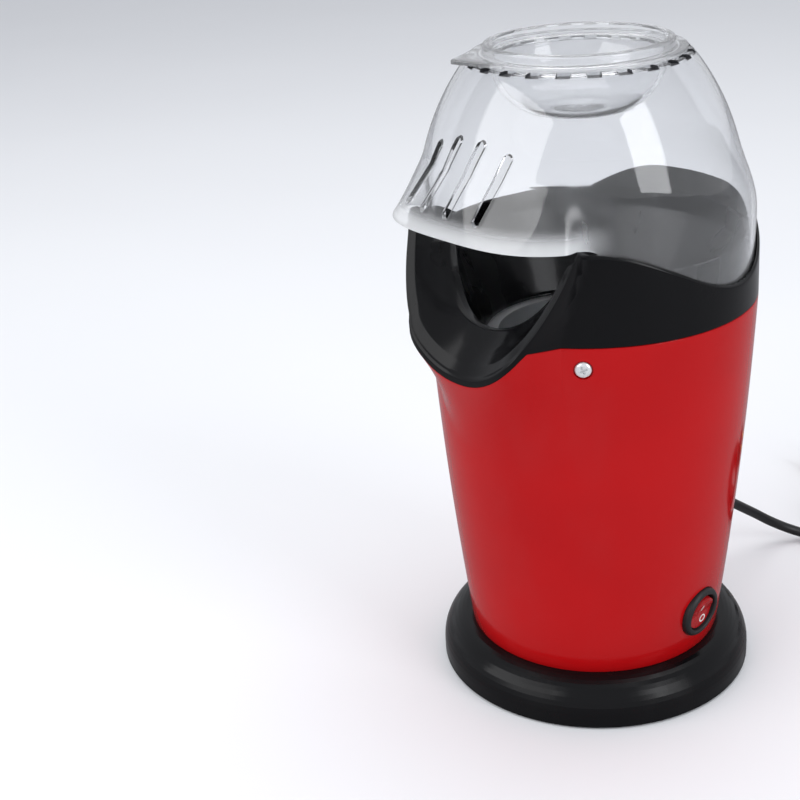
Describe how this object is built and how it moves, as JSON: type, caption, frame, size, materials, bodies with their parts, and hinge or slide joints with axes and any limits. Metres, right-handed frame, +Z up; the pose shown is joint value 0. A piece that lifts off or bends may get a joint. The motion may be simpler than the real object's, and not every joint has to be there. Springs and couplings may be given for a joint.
{
  "type": "hot-air popcorn maker",
  "caption": "Tabletop hot-air popcorn maker with a tapered red body, black collar and chute, clear lift-off cover, measuring cup, rocker switch and mains cord.",
  "frame": {"origin": "on the table, under the axis of the round shell", "axes": "+Z up along the shell's axis, -Y out of the chute, +X to the side of the switch"},
  "size_m": [0.1444, 0.3287, 0.29],
  "materials": {
    "red_shell": "glossy moulded red",
    "black_gloss": "glossy moulded black",
    "black_matte": "matte moulded black",
    "clear": "clear moulded plastic",
    "steel": "plated sheet and screws",
    "aluminium": "drawn sheet",
    "mica": "pressed mica",
    "brass": "bare",
    "rubber": "soft black",
    "white_mark": "printed",
    "red_rocker": "glossy red",
    "board_green": "lacquered board",
    "lead_brown": "sleeved wire",
    "lead_grey": "sleeved wire",
    "lead_blue": "sleeved wire"
  },
  "bodies": {
    "housing": {"base": "black_gloss", "bottom_plate": "black_matte", "rubber_feet": "rubber", "base_screws": "steel", "body_shell": "red_shell", "collar": "black_gloss", "collar_screws": "steel", "popping_chamber": "aluminium", "duct_sleeve": "steel", "fan_housing": "steel", "housing_screws": "steel", "motor": "steel", "motor_screws": "steel", "rectifier_board": "board_green", "diodes": "black_matte", "heater_boards": "mica", "heater_coil": "steel", "heater_posts": "brass", "thermostat": "steel", "thermal_fuse": "brass", "switch_bezel": "black_gloss", "switch_body": "black_matte", "switch_terminals": "brass", "strain_relief": "rubber", "cord": "rubber", "cord_coil": "rubber", "cord_tie": "black_matte", "plug_body": "rubber", "plug_pins": "brass", "lead_live": "lead_brown", "lead_heater": "lead_grey", "lead_return": "lead_blue"},
    "cover": {"cover": "clear"},
    "measuring_cup": {"measuring_cup": "clear"},
    "rocker": {"switch_rocker": "red_rocker", "switch_marks": "white_mark"},
    "rotor": {"motor_shaft": "steel", "fan": "black_matte"}
  },
  "joints": [
    {"name": "cover_lift", "type": "slide", "parent": "housing", "child": "cover", "axis": [0, 0, 1], "range_m": [0, 0.12]},
    {"name": "cup_lift", "type": "slide", "parent": "cover", "child": "measuring_cup", "axis": [0, 0, 1], "range_m": [0, 0.08]},
    {"name": "switch_rock", "type": "hinge", "parent": "housing", "child": "rocker", "pos_m": [0.05878, 0.00618, 0.04014], "axis": [0.1045, -0.9945, 0], "range_deg": [0, 20]},
    {"name": "rotor_spin", "type": "hinge", "parent": "housing", "child": "rotor", "pos_m": [0, 0, 0.05], "axis": [0, 0, 1], "continuous": true}
  ]
}
